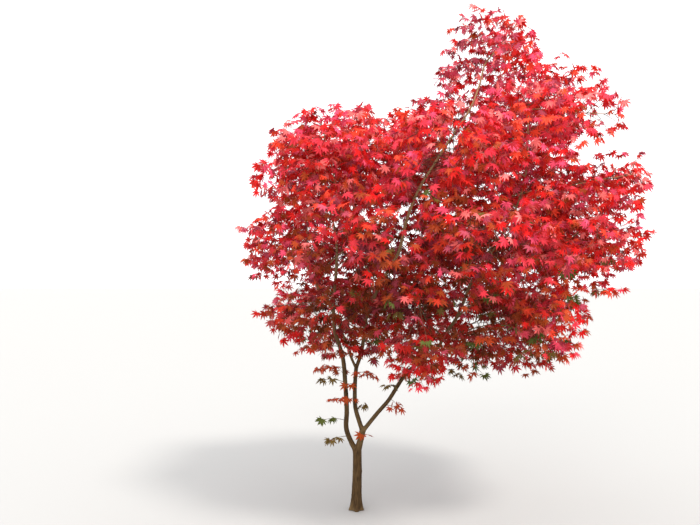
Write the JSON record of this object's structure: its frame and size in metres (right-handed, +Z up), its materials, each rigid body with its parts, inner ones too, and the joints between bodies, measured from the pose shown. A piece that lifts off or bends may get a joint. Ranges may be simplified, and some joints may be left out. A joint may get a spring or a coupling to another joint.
{
  "type": "hybrid japanese maple tree",
  "caption": "Young ornamental maple in red autumn leaf: a short trunk that forks low into rising stems, with layered boughs of palmate foliage, cut flat at ground level.",
  "frame": {"origin": "middle of the flat cut under the trunk, at ground level", "axes": "+Z up, +X to the right of the picture's view, -Y towards its viewer"},
  "size_m": [2.6622, 2.3624, 3.4239],
  "materials": {
    "bark": "smooth grey-brown living bark, matt",
    "leaves": "thin autumn leaf, soft satin"
  },
  "bodies": {
    "root": {"trunk": "bark", "left_stem_lower": "bark", "left_stem_upper": "bark", "centre_stem": "bark", "middle_stem": "bark", "leader_lower": "bark", "middle_left_bough": "bark", "leader_upper": "bark", "leader_left_branch": "bark", "leader_front_branch": "bark", "right_stem_lower": "bark", "right_stem_upper": "bark", "right_inner_bough": "bark", "right_outer_bough": "bark", "right_side_branch": "bark", "bough_low_1": "bark", "bough_low_2": "bark", "bough_low_3": "bark", "bough_low_4": "bark", "bough_low_5": "bark", "bough_low_6": "bark", "bough_middle_2": "bark", "bough_middle_3": "bark", "bough_middle_5": "bark", "bough_middle_6": "bark", "bough_middle_7": "bark", "bough_upper_2": "bark", "bough_upper_3": "bark", "bough_upper_5": "bark", "bough_high_1": "bark", "bough_high_3": "bark", "bough_hanging": "bark", "foliage_low_1": "leaves", "foliage_low_2": "leaves", "foliage_low_3": "leaves", "foliage_low_4": "leaves", "foliage_low_5": "leaves", "foliage_low_6": "leaves", "foliage_middle_1": "leaves", "foliage_middle_2": "leaves", "foliage_middle_3": "leaves", "foliage_middle_4": "leaves", "foliage_middle_5": "leaves", "foliage_middle_6": "leaves", "foliage_middle_7": "leaves", "foliage_upper_1": "leaves", "foliage_upper_2": "leaves", "foliage_upper_3": "leaves", "foliage_upper_4": "leaves", "foliage_upper_5": "leaves", "foliage_upper_6": "leaves", "foliage_high_1": "leaves", "foliage_high_2": "leaves", "foliage_high_3": "leaves", "foliage_top": "leaves", "foliage_inner": "leaves", "foliage_hanging": "leaves"}
  },
  "joints": []
}
